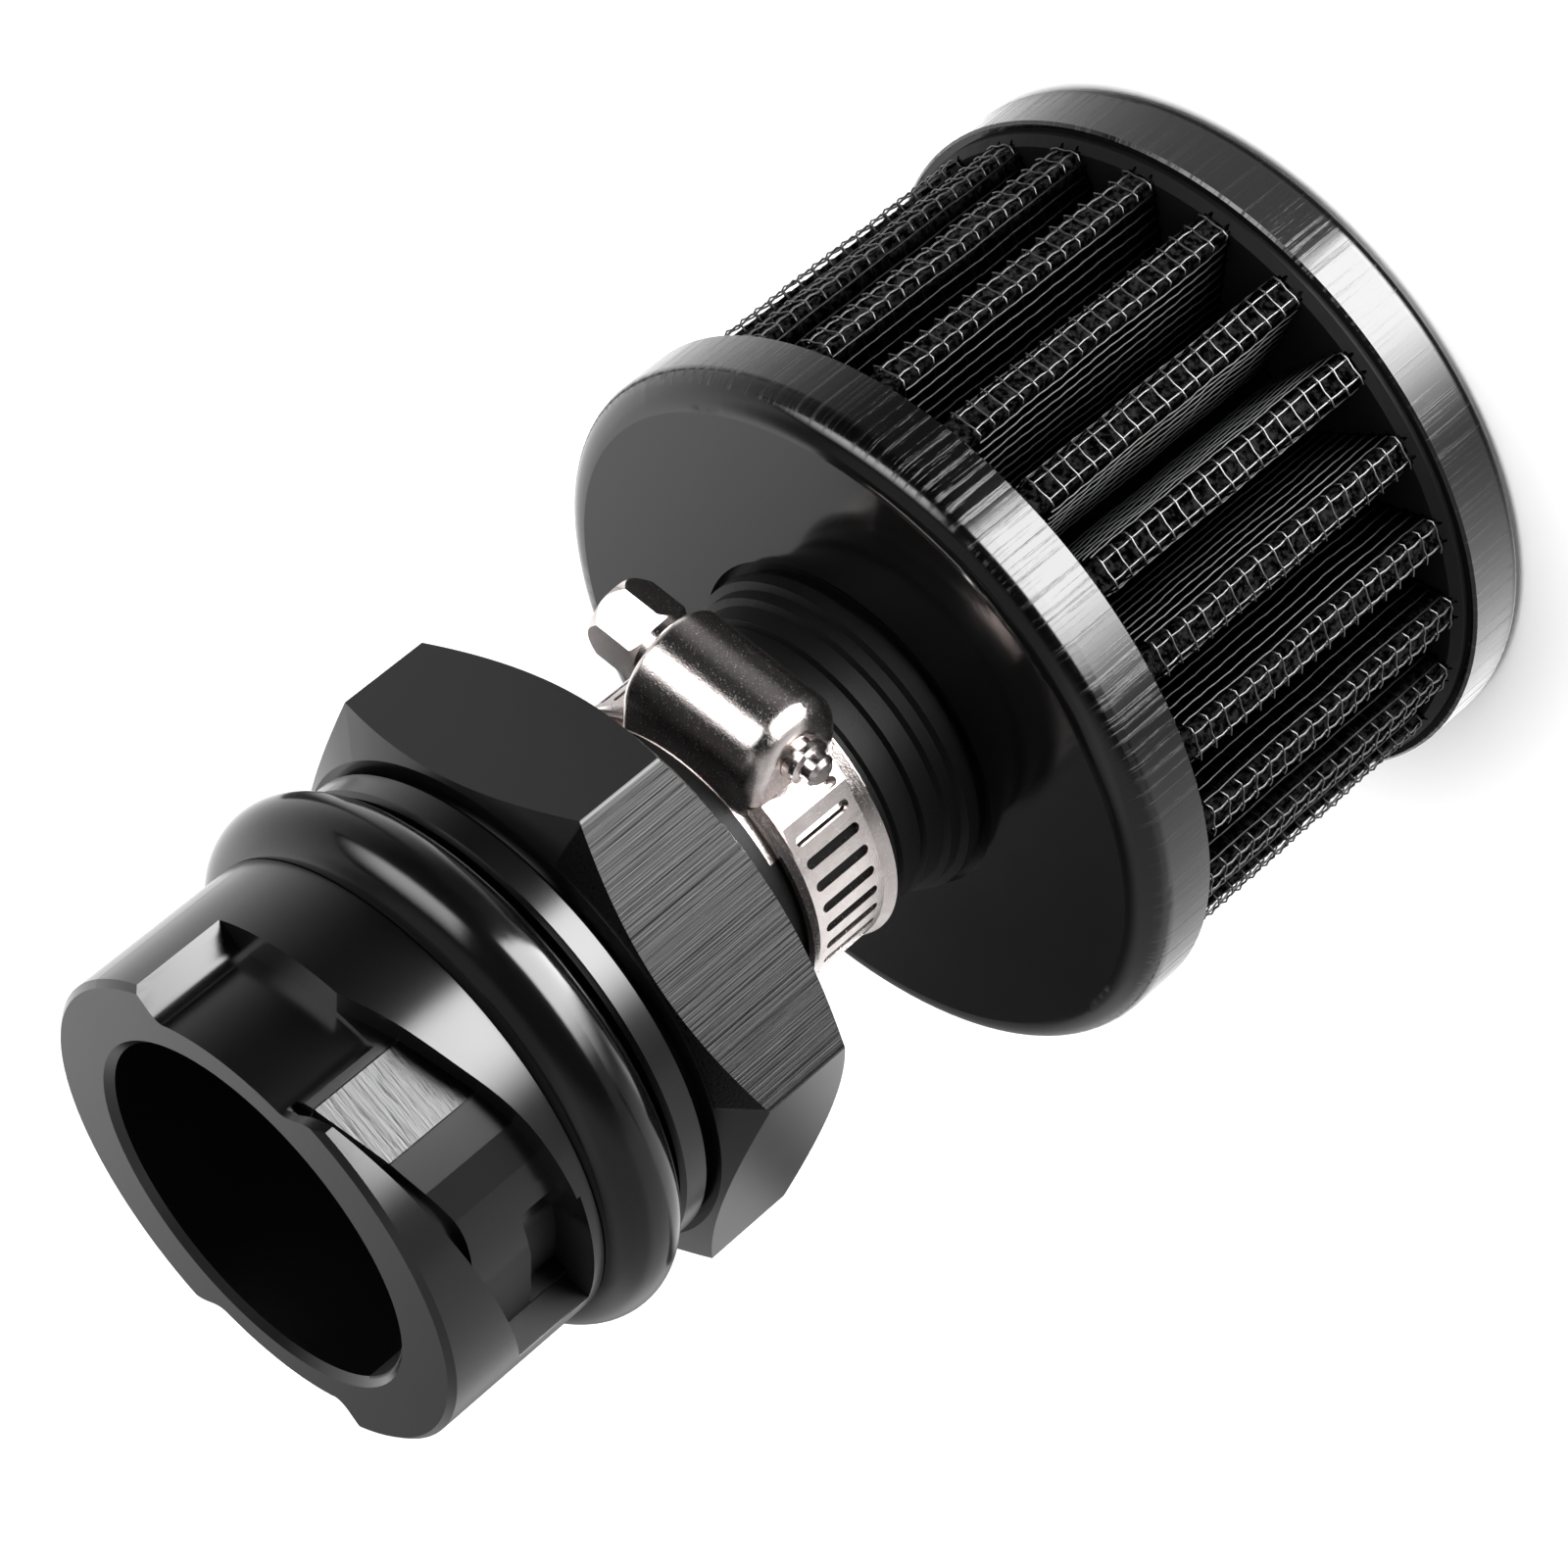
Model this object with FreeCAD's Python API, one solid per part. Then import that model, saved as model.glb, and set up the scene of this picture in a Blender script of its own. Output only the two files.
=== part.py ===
import FreeCAD, Part
import math
import os

# Crankcase breather filter with a bayonet adapter, in millimetres.
# It stands on the flat face of its top cover, so +Z is the breather axis
# and the origin is the centre of that face. Lengths along the axis are
# stations counted from the open end of the spigot, and angles are turned
# about +Z from +X.

V = FreeCAD.Vector
AXIS = V(0, 0, 1)

# Overall
overall_height = 91.4
fit_gap = 0.05

# Bayonet spigot: entry notches, then cam slots whose roof climbs as the lug turns;
# angles are counted clockwise, in pairs of (radius, angle) and (angle, station)
spigot_radius = 17.5
spigot_edge = 0.4
spigot_bore_radius = 12.7
bore_edge = 0.5
notch_floor_radius = 15.15
notch_depth = 7.1
notch_start = [(17.7, 16.2), (17.3, 17.0), (16.6, 18.0), (15.9, 18.9), (15.3, 20.6), (15.15, 23.5)]
notch_stop = [(15.15, 60.5), (15.35, 63.2), (16.1, 66.0), (16.9, 68.6), (17.3, 70.8), (17.7, 73.4)]
cam_roof = [(52.0, 7.1), (63.0, 8.2), (70.0, 8.8), (77.0, 9.4), (86.0, 10.3), (93.0, 10.9),
            (100.0, 11.3), (108.0, 11.6), (118.0, 11.85), (130.0, 12.0), (142.0, 12.05), (152.0, 12.1)]
cam_end = cam_roof[-1][1]
cam_lip_at_start = 0.22
cam_lip_start_angle = 60.0
cam_lip_rise = 0.0636
cam_floor_radius = spigot_radius - 2.05
cam_gutter_radius = cam_floor_radius - 1.0
cam_flat_angles = [66.0, 86.0, 96.5, 106.5]
cam_gutter = [(62.0, 1.0), (70.0, 1.1), (86.0, 1.3), (98.0, 1.5), (107.0, 1.6), (113.0, 1.3), (119.0, 0.7)]
cam_gutter_land = 0.15
cam_end_flat = [130.0, 148.0]
detent_floor_radius = spigot_radius - 3.3
detent_span = (117.0, 150.0)
detent_height = 3.2
lug_turn = 180.0
cutter_reach = 1.5
spigot_end = cam_end + 0.85

# O-ring and its groove
oring_half_width = 3.0
oring_half_height = 2.75
oring_radius = spigot_radius - 0.45
oring_centre = spigot_end + fit_gap + oring_half_width
groove_end = spigot_end + 6.55

# Flange ring and hexagon
flange_radius = spigot_radius + 0.4
flange_edge = 0.3
flange_end = groove_end + 2.3
hex_start = flange_end + 0.6
hex_end = hex_start + 10.3
hex_across_flats = 37.4
hex_face_radius = hex_across_flats / 2 - 0.35
hex_chamfer_slope = 0.556
relief_radius = hex_face_radius - 1.75
shoulder_cone = 4.0
spigot_bore_depth = hex_end - 5.7

# Rubber neck over the hose stem; the steps are (radius above the neck's,
# distance before the lower cover's face) corners past the clamp
neck_radius = 10.7
neck_edge = 0.4
neck_start = hex_end + 0.3
neck_length = 20.4
neck_steps = [(0.0, 6.7), (0.35, 6.5), (0.35, 5.2), (-0.1, 5.0), (-0.1, 4.4), (0.35, 4.2),
              (0.4, 2.8), (0.9, 2.6), (0.9, 1.7), (1.45, 1.5), (1.45, 0.5), (0.9, 0.4)]
stem_radius = neck_radius - 3.1
stem_bore_radius = stem_radius - 2.0
stem_end = neck_start + 16.6
stem_edge = 0.4
barb_radius = stem_radius + 0.5
barb_start = stem_end - 3.2
barb_end = stem_end - 0.8
barb_back = 0.5
barb_lead = 1.0
neck_inner_radius = stem_radius - 1.0
neck_outlet_radius = barb_radius + 0.3
neck_outlet_start = stem_end + 0.8

# Covers, two pressed pans
cover_sheet = 0.7
cover_edge = 0.2
top_cover_radius = 26.0
top_cover_corner = 1.3
top_cover_start = overall_height - 5.1
lower_cover_radius = top_cover_radius + 0.3
lower_cover_corner = 2.2
lower_cover_face = neck_start + neck_length
lower_cover_end = lower_cover_face + 5.9
cover_hole_radius = neck_radius + 2.0

# Rubber that the pleats' ends are set in
base_face = lower_cover_end - 0.7
base_edge = 1.5
potting_face = top_cover_start - 1.0
potting_edge = 0.6

# Pleated wall
pleat_count = 24
pleat_phase = -7.2
pleat_start = base_face - 2.2
pleat_end = potting_face + 2.5
crest_apothem = top_cover_radius - 1.2
crest_half_width = 1.1
valley_apothem = crest_apothem - 8.2
valley_half_width = 0.5
mesh_sheet = 0.2
media_sheet = 0.45
wire_pitch = 1.4
wire_half_width = 0.17
wire_height = 0.24
wires_on_flank = 5
flank_wire_start = 1.0

# Hose clamp: band with slots, saddle under it, screw housing and screw
clamp_station = neck_start + 8.9
band_half_width = 3.85
band_thickness = 0.5
band_flare = 0.35
band_flare_width = 0.9
band_slots = 40
slot_phase = -4.9
slot_half_length = 2.35
slot_half_width = 0.37
tail_half_width = 2.9
tail_end = -12.0
tail_lift = -88.0
tail_ramp = -100.0
saddle_thickness = 0.5
saddle_half_width = 4.4
saddle_first = 0.0
saddle_last = -96.0
screw_height = neck_radius + 2.25
screw_slot = 5
housing_half_length = 5.6
housing_crown_radius = 4.35
housing_crown_height = neck_radius + 1.15
housing_crown_sheet = 0.7
housing_leg = 3.0
housing_tip_round = 1.7
housing_head_round = 0.6
screw_core_radius = 1.15
screw_crest_radius = 1.6
screw_root_half_width = 0.36
screw_crest_half_width = 0.2
screw_tip = 7.8
screw_tip_edge = 0.3
screw_tip_ridge = 6.4
collar_radius = 2.5
collar_length = 0.7
head_across_flats = 5.0
head_length = 4.4
head_dome = 0.8


def up(station):
    return overall_height - station


def polar(radius, angle, z=0.0):
    a = math.radians(angle)
    return V(radius * math.cos(a), radius * math.sin(a), z)


def turned(points):
    """Solid of revolution from (radius, station) corners."""
    corners = [V(r, 0, up(s)) for r, s in points]
    face = Part.Face(Part.makePolygon(corners + corners[:1]))
    return face.revolve(V(0, 0, 0), AXIS, 360)


def cylinder(radius, low_station, high_station):
    return Part.makeCylinder(radius, high_station - low_station, V(0, 0, up(high_station)))


def save(shape, name):
    shape = shape.removeSplitter()
    if shape.ShapeType != "Solid":
        shape = shape.Solids[0] if len(shape.Solids) == 1 else shape
    shape.exportStep("parts/" + name + ".step")
    print(name, "volume %.1f" % shape.Volume, "solids", len(shape.Solids), "valid", shape.isValid())
    return shape


# Adapter: entry notches

def notch_cutter():
    start = Part.BSplineCurve()
    start.interpolate([polar(r, -a) for r, a in notch_start])
    stop = Part.BSplineCurve()
    stop.interpolate([polar(r, -a) for r, a in notch_stop])
    first = notch_start[0][1]
    last = notch_stop[-1][1]
    middle = (first + last) / 2
    outside = spigot_radius + cutter_reach
    floor = Part.Arc(polar(notch_floor_radius, -notch_start[-1][1]),
                     polar(notch_floor_radius, -middle),
                     polar(notch_floor_radius, -notch_stop[0][1]))
    rim = Part.Arc(polar(outside, -last), polar(outside, -middle), polar(outside, -first))
    edges = [start.toShape(), floor.toShape(), stop.toShape(),
             Part.makeLine(polar(notch_stop[-1][0], -last), polar(outside, -last)),
             rim.toShape(),
             Part.makeLine(polar(outside, -first), polar(notch_start[0][0], -first))]
    face = Part.Face(Part.Wire(Part.__sortEdges__(edges)))
    cutter = face.extrude(V(0, 0, notch_depth + cutter_reach))
    cutter.translate(V(0, 0, up(notch_depth)))
    return cutter


# Adapter: helical cam slot with its flats and the detent at its end

def cam_lip(angle):
    """Station of the slot's edge next to the open end."""
    return cam_lip_at_start + cam_lip_rise * (angle - cam_lip_start_angle)


def swept_slot(inner, borders):
    """Cutter outwards from a radius; borders are (angle, first station, last station)."""
    outer = spigot_radius + cutter_reach
    sections = []
    for angle, first, last in borders:
        corners = [polar(inner, -angle, up(last)), polar(outer, -angle, up(last)),
                   polar(outer, -angle, up(first)), polar(inner, -angle, up(first))]
        sections.append(Part.makePolygon(corners + corners[:1]))
    return Part.makeLoft(sections, True, False)


def cam_cutter():
    slot = swept_slot(detent_floor_radius - cutter_reach,
                      [(angle, cam_lip(angle), roof) for angle, roof in cam_roof])
    gutter = swept_slot(cam_gutter_radius,
                        [(angle, cam_lip(angle) + cam_gutter_land, cam_lip(angle) + width)
                         for angle, width in cam_gutter])

    low = up(cam_end + cutter_reach)
    height = cam_end + 2 * cutter_reach
    floor = Part.makeCylinder(cam_floor_radius, height, V(0, 0, low))
    flats = list(zip(cam_flat_angles[:-1], cam_flat_angles[1:])) + [tuple(cam_end_flat)]
    for first, last in flats:
        middle = -(first + last) / 2
        apothem = cam_floor_radius * math.cos(math.radians((last - first) / 2))
        block = Part.makeBox(cam_floor_radius, cam_floor_radius, height,
                             V(apothem, -cam_floor_radius / 2, low))
        block.rotate(V(0, 0, 0), AXIS, middle)
        floor = floor.cut(block)
    slot = slot.cut(floor)

    first, last = detent_span
    detent = Part.makeCylinder(spigot_radius + cutter_reach, detent_height, V(0, 0, up(cam_end)),
                               AXIS, last - first)
    detent.rotate(V(0, 0, 0), AXIS, -last)
    detent = detent.cut(cylinder(detent_floor_radius, 0, cam_end + cutter_reach))
    return slot.fuse([gutter, detent])


# Adapter: turned body, hexagon and stem in one piece

def adapter():
    body = turned([
        (stem_bore_radius, stem_end),
        (stem_bore_radius, spigot_bore_depth + shoulder_cone),
        (spigot_bore_radius, spigot_bore_depth),
        (spigot_bore_radius, bore_edge),
        (spigot_bore_radius + bore_edge, 0),
        (spigot_radius - spigot_edge, 0),
        (spigot_radius, spigot_edge),
        (spigot_radius, spigot_end),
        (oring_radius - oring_half_height, spigot_end),
        (oring_radius - oring_half_height, groove_end),
        (flange_radius - flange_edge, groove_end),
        (flange_radius, groove_end + flange_edge),
        (flange_radius, flange_end - flange_edge),
        (flange_radius - flange_edge, flange_end),
        (relief_radius, flange_end),
        (relief_radius, hex_end),
        (stem_radius, hex_end),
        (stem_radius, barb_start),
        (barb_radius, barb_start + barb_back),
        (barb_radius, barb_end - barb_lead),
        (stem_radius, barb_end),
        (stem_radius - stem_edge, stem_end),
    ])
    corner = hex_across_flats / 2 / math.cos(math.radians(30))
    points = [polar(corner, 60 * i, up(hex_end)) for i in range(6)]
    prism = Part.Face(Part.makePolygon(points + points[:1])).extrude(V(0, 0, hex_end - hex_start))
    reach = (corner - hex_face_radius) * hex_chamfer_slope
    envelope = turned([
        (stem_radius, hex_start),
        (hex_face_radius, hex_start),
        (corner, hex_start + reach),
        (corner, hex_end - reach),
        (hex_face_radius, hex_end),
        (stem_radius, hex_end),
    ])
    bored = spigot_bore_depth + shoulder_cone
    hexagon = prism.common(envelope).cut(cylinder(spigot_bore_radius + spigot_edge, hex_start, bored))
    body = body.fuse(hexagon)
    for turn in (0, lug_turn):
        for cutter in (notch_cutter(), cam_cutter()):
            cutter.rotate(V(0, 0, 0), AXIS, turn)
            body = body.cut(cutter)
    return body


# O-ring, slightly oval where the groove squeezes it

def oring():
    centre = V(oring_radius, 0, up(oring_centre))
    ellipse = Part.Ellipse(centre + V(0, 0, oring_half_width), centre + V(oring_half_height, 0, 0), centre)
    face = Part.Face(Part.Wire(ellipse.toShape()))
    return face.revolve(V(0, 0, 0), AXIS, 360)


# Pleated wall: corners of one layer of the fold, at a depth below its outside

def fold_corners(depth):
    half_pitch = math.pi / pleat_count
    crest = (crest_apothem, crest_half_width)
    valley = (valley_apothem * math.cos(half_pitch) + valley_half_width * math.sin(half_pitch),
              valley_apothem * math.sin(half_pitch) - valley_half_width * math.cos(half_pitch))
    run = math.hypot(crest[0] - valley[0], crest[1] - valley[1])
    along = ((valley[0] - crest[0]) / run, (valley[1] - crest[1]) / run)
    side = (-along[1], along[0])
    if side[1] > 0:
        side = (-side[0], -side[1])
    start = (crest[0] + side[0] * depth, crest[1] + side[1] * depth)
    step = (crest_apothem - depth - start[0]) / along[0]
    top = (crest_apothem - depth, start[1] + along[1] * step)
    normal = (math.cos(half_pitch), math.sin(half_pitch))
    height = valley_apothem - depth - start[0] * normal[0] - start[1] * normal[1]
    step = height / (along[0] * normal[0] + along[1] * normal[1])
    low = (start[0] + along[0] * step, start[1] + along[1] * step)
    return top, low


def fold_outline(depth, wires):
    """Closed outline of one fold layer; wires adds the lengthwise wires of the mesh."""
    top, low = fold_corners(depth)
    run = math.hypot(top[0] - low[0], top[1] - low[1])
    along = ((low[0] - top[0]) / run, (low[1] - top[1]) / run)
    out = (-along[1], along[0])
    if out[1] < 0:
        out = (-out[0], -out[1])
    half = [top]
    if wires:
        at = wire_pitch / 2
        half = [(top[0], at - wire_half_width), (top[0] + wire_height, at - wire_half_width / 2),
                (top[0] + wire_height, at + wire_half_width / 2), (top[0], at + wire_half_width), top]
        for i in range(wires_on_flank):
            middle = flank_wire_start + i * wire_pitch
            for shift, rise in ((-1, 0), (-0.5, 1), (0.5, 1), (1, 0)):
                at = middle + shift * wire_half_width
                half.append((top[0] + along[0] * at + out[0] * wire_height * rise,
                             top[1] + along[1] * at + out[1] * wire_height * rise))
    half.append(low)
    points = []
    for i in range(pleat_count):
        turn = math.radians(pleat_phase + 360.0 / pleat_count * i)
        mirrored = [(x, -y) for x, y in reversed(half)]
        for x, y in mirrored + half:
            points.append(V(x * math.cos(turn) - y * math.sin(turn),
                            x * math.sin(turn) + y * math.cos(turn), up(pleat_end)))
    return Part.makePolygon(points + points[:1])


def fold_layer(depth, thickness, wires=False):
    outside = Part.Face(fold_outline(depth, wires))
    inside = Part.Face(fold_outline(depth + thickness, False))
    return outside.cut(inside).extrude(V(0, 0, pleat_end - pleat_start))


# Pressed covers

def pressed_pan(radius, face_station, end_station, corner, hole):
    """Pan with a rounded corner; its rim runs from the face to the end station."""
    sign = 1 if end_station > face_station else -1
    depth = abs(end_station - face_station)

    def at(r, distance):
        return V(r, 0, up(face_station + sign * distance))

    def bend(bend_radius):
        slant = bend_radius * math.sqrt(0.5)
        arc = Part.Arc(at(radius - corner, corner - bend_radius),
                       at(radius - corner + slant, corner - slant),
                       at(radius - corner + bend_radius, corner))
        return arc.toShape()

    rim = [at(radius, corner), at(radius, depth - cover_edge), at(radius - cover_edge, depth),
           at(radius - cover_sheet, depth), at(radius - cover_sheet, corner)]
    disc = [at(radius - corner, cover_sheet), at(hole, cover_sheet), at(hole, 0), at(radius - corner, 0)]
    edges = [bend(corner), bend(corner - cover_sheet)]
    edges += Part.makePolygon(rim).Edges + Part.makePolygon(disc).Edges
    face = Part.Face(Part.Wire(Part.__sortEdges__(edges)))
    return face.revolve(V(0, 0, 0), AXIS, 360)


# Rubber base with the neck, moulded in one piece

def boot(pack, saddle, stem):
    inner_face = lower_cover_face + cover_sheet
    side = lower_cover_radius - cover_sheet
    steps = [(neck_radius + rise, lower_cover_face - before) for rise, before in neck_steps]
    body = turned([
        (neck_inner_radius, neck_start),
        (neck_radius - neck_edge, neck_start),
        (neck_radius, neck_start + neck_edge),
    ] + steps + [
        (steps[-1][0], inner_face),
        (side - base_edge, inner_face),
        (side, inner_face + base_edge),
        (side, base_face),
        (neck_outlet_radius, base_face),
        (neck_outlet_radius, neck_outlet_start),
        (neck_inner_radius, neck_outlet_start),
    ])
    return body.cut(stem).cut(saddle).cut(pack)


def potting(pack):
    inner_face = overall_height - cover_sheet
    side = top_cover_radius - cover_sheet
    body = turned([
        (0, potting_face),
        (side - potting_edge, potting_face),
        (side, potting_face + potting_edge),
        (side, inner_face - potting_edge),
        (side - potting_edge, inner_face),
        (0, inner_face),
    ])
    return body.cut(pack)


# Hose clamp, drawn with the screw over +X and then turned into place

def clamp_turn():
    return slot_phase - 360.0 / band_slots * screw_slot


def placed(shape):
    shape.rotate(V(0, 0, 0), AXIS, clamp_turn())
    return shape


def clamp_band():
    inner = neck_radius
    outer = neck_radius + band_thickness
    low = clamp_station - band_half_width
    high = clamp_station + band_half_width
    ring = turned([
        (inner, low + band_flare_width),
        (inner + band_flare, low),
        (outer + band_flare, low),
        (outer, low + band_flare_width),
        (outer, high - band_flare_width),
        (outer + band_flare, high),
        (inner + band_flare, high),
        (inner, high - band_flare_width),
    ])
    top = outer + band_thickness
    bite = outer - band_thickness / 2
    middle = (tail_end + tail_lift) / 2
    edges = [
        Part.Arc(polar(top, tail_end), polar(top, middle), polar(top, tail_lift)).toShape(),
        Part.makeLine(polar(top, tail_lift), polar(outer, tail_ramp)),
        Part.makeLine(polar(outer, tail_ramp), polar(bite, tail_ramp)),
        Part.Arc(polar(bite, tail_ramp), polar(bite, middle), polar(bite, tail_end)).toShape(),
        Part.makeLine(polar(bite, tail_end), polar(top, tail_end)),
    ]
    tail = Part.Face(Part.Wire(Part.__sortEdges__(edges))).extrude(V(0, 0, 2 * tail_half_width))
    tail.translate(V(0, 0, up(clamp_station + tail_half_width)))

    centre = V(inner - band_thickness, 0, up(clamp_station))
    depth = 2 * band_thickness + cutter_reach
    straight = slot_half_length - slot_half_width
    slot = Part.makeBox(depth, 2 * slot_half_width, 2 * straight, centre - V(0, slot_half_width, straight))
    for end in (-straight, straight):
        slot = slot.fuse(Part.makeCylinder(slot_half_width, depth, centre + V(0, 0, end), V(1, 0, 0)))
    slots = []
    for i in range(band_slots):
        copy = slot.copy()
        copy.rotate(V(0, 0, 0), AXIS, slot_phase - 360.0 / band_slots * i)
        slots.append(copy)
    return ring.fuse(tail).cut(Part.makeCompound(slots))


def clamp_saddle():
    low = clamp_station - saddle_half_width
    plate = Part.makeCylinder(neck_radius, 2 * saddle_half_width, V(0, 0, up(low + 2 * saddle_half_width)),
                              AXIS, saddle_first - saddle_last)
    plate.rotate(V(0, 0, 0), AXIS, saddle_last)
    return plate.cut(cylinder(neck_radius - saddle_thickness, neck_start, base_face))


def arch(crown, half_length):
    """Round-topped block over the screw, with straight legs down past the band."""
    z = up(clamp_station)
    ground = neck_radius - housing_leg
    legs = [V(housing_crown_height, -half_length, z + crown), V(ground, -half_length, z + crown),
            V(ground, -half_length, z - crown), V(housing_crown_height, -half_length, z - crown)]
    top = V(housing_crown_height + crown, -half_length, z)
    edges = Part.makePolygon(legs).Edges
    edges.append(Part.Arc(legs[-1], top, legs[0]).toShape())
    return Part.Face(Part.Wire(Part.__sortEdges__(edges))).extrude(V(0, 2 * half_length, 0))


def end_edges(solid, y):
    """Edges of the arch's end face at y, the one at the ground left out."""
    found = []
    for edge in solid.Edges:
        box = edge.BoundBox
        if box.YLength < 0.01 and abs(box.YMin - y) < 0.01 and box.XMax > housing_crown_height - 0.01:
            found.append(edge)
    return found


def clamp_housing():
    band_top = neck_radius + 2 * band_thickness + fit_gap
    shell = arch(housing_crown_radius, housing_half_length)
    shell = shell.makeFillet(housing_tip_round, end_edges(shell, -housing_half_length))
    shell = shell.makeFillet(housing_head_round, end_edges(shell, housing_half_length))
    shell = shell.cut(arch(housing_crown_radius - housing_crown_sheet,
                           housing_half_length - housing_crown_sheet))
    shell = shell.cut(cylinder(neck_radius, neck_start, base_face))
    shell = shell.cut(cylinder(band_top, clamp_station - band_half_width - fit_gap,
                               clamp_station + band_half_width + fit_gap))
    hole = Part.makeCylinder(screw_crest_radius + fit_gap, 4 * housing_half_length,
                             V(screw_height, -2 * housing_half_length, up(clamp_station)), V(0, 1, 0))
    return shell.cut(hole)


def worm_outline():
    """Half section of the screw as (radius, distance along it) corners, tip first."""
    pitch = math.radians(360.0 / band_slots) * (neck_radius + 2 * band_thickness)
    wall = housing_half_length - housing_crown_sheet
    outline = [(0, -screw_tip), (screw_core_radius - screw_tip_edge, -screw_tip),
               (screw_core_radius, -screw_tip + screw_tip_edge)]
    ridges = []
    for middle in [-screw_tip_ridge] + [pitch * i for i in (-1, 0, 1, 2)]:
        ridges.append([(screw_core_radius, middle - screw_root_half_width),
                       (screw_crest_radius, middle - screw_crest_half_width),
                       (screw_crest_radius, middle + screw_crest_half_width),
                       (screw_core_radius, middle + screw_root_half_width)])
    hole_end = -housing_half_length - fit_gap
    journal = [(screw_core_radius, hole_end), (screw_crest_radius, hole_end),
               (screw_crest_radius, -wall + fit_gap), (screw_core_radius, -wall + fit_gap)]
    outline += ridges[0] + journal
    for corners in ridges[1:]:
        outline += corners
    collar_end = housing_half_length + collar_length
    outline += [(screw_core_radius, wall - fit_gap), (screw_crest_radius, wall - fit_gap),
                (screw_crest_radius, housing_half_length), (collar_radius, housing_half_length),
                (collar_radius, collar_end), (0, collar_end)]
    return outline


def clamp_screw():
    points = [V(r, y, 0) for r, y in worm_outline()]
    along = V(0, 1, 0)
    shank = Part.Face(Part.makePolygon(points + points[:1])).revolve(V(0, 0, 0), along, 360)
    flat = head_across_flats / 2
    corner = flat / math.cos(math.radians(30))
    start = housing_half_length + collar_length
    end = start + head_length
    turns = [math.radians(60 * i) for i in range(6)]
    ring = [V(corner * math.cos(a), start, corner * math.sin(a)) for a in turns]
    head = Part.Face(Part.makePolygon(ring + ring[:1])).extrude(V(0, head_length, 0))
    edge = corner - flat
    limit = [V(0, start, 0), V(flat, start, 0), V(corner, start + edge, 0),
             V(corner, end - head_dome - edge, 0), V(flat, end - head_dome / 2, 0),
             V(flat - head_dome, end, 0), V(0, end, 0)]
    limit = Part.Face(Part.makePolygon(limit + limit[:1])).revolve(V(0, 0, 0), along, 360)
    screw = shank.fuse(head.common(limit))
    screw.translate(V(screw_height, 0, up(clamp_station)))
    return screw


os.makedirs("parts", exist_ok=True)

stem = save(adapter(), "adapter")
save(oring(), "o_ring")

save(fold_layer(0, mesh_sheet, wires=True), "outer_mesh")
save(fold_layer(mesh_sheet, media_sheet), "filter_media")
save(fold_layer(mesh_sheet + media_sheet, mesh_sheet), "inner_mesh")
pack = fold_layer(0, 2 * mesh_sheet + media_sheet, wires=True)

save(pressed_pan(lower_cover_radius, lower_cover_face, lower_cover_end,
                 lower_cover_corner, cover_hole_radius), "lower_cover")
save(pressed_pan(top_cover_radius, overall_height, top_cover_start, top_cover_corner, 0), "top_cover")

saddle = save(clamp_saddle(), "clamp_saddle")
save(boot(pack, saddle, stem), "neck_boot")
save(potting(pack), "top_potting")

save(clamp_band(), "clamp_band")
save(placed(clamp_housing()), "clamp_housing")
save(placed(clamp_screw()), "clamp_screw")
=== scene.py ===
# %% [markdown]
# ## A crankcase breather filter
# The real part is a small pleated air filter on a rubber neck. A hose clamp holds the
# neck on a turned alloy adapter with bayonet slots. The solids come from a CAD model
# and stay where they are. This lesson gives them their finishes, adds the woven wire
# that CAD leaves out, and lights the part as in a studio.

# %% Load the solids
import math

import bpy
from mathutils import Matrix, Vector


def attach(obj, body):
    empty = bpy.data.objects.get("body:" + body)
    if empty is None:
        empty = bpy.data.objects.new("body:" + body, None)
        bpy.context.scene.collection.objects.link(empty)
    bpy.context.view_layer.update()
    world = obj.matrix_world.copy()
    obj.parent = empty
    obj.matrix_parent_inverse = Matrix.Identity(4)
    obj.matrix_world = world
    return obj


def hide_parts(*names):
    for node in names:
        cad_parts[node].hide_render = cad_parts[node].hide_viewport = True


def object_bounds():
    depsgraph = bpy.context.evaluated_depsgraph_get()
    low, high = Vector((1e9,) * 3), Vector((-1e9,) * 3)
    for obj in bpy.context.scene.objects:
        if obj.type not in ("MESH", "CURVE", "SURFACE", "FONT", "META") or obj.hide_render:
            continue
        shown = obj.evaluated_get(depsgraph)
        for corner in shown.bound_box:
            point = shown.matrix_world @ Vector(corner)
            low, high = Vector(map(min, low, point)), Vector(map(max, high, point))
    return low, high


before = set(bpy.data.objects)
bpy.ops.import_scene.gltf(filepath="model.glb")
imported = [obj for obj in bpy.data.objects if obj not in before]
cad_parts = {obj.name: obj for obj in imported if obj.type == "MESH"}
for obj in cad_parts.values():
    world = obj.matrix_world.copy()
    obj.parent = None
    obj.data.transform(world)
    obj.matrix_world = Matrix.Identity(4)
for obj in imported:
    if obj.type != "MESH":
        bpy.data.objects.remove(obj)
solids_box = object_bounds()
MM = 0.001
HEIGHT = solids_box[1].z / MM
print("nodes:", ", ".join(sorted(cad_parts)))
print("height in mm:", round(HEIGHT, 2))

# %% [markdown]
# ## Camera
# The part stands on its flat cover, so that it can't roll, and the photograph was taken
# from above the open end with the picture turned. The camera is described by where it
# stands and by the three directions of its picture. A long lens, about three and a half
# times the sensor's width, gives the weak perspective.

# %% Place the camera
CAMERA_PLACE = Vector((81.50, -308.76, 208.02)) * MM
PICTURE_RIGHT = Vector((-0.5255, -0.5032, -0.6860))
PICTURE_UP = Vector((0.8196, -0.0831, -0.5669))
SENSOR = 36.0
LENS = 126.945

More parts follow.
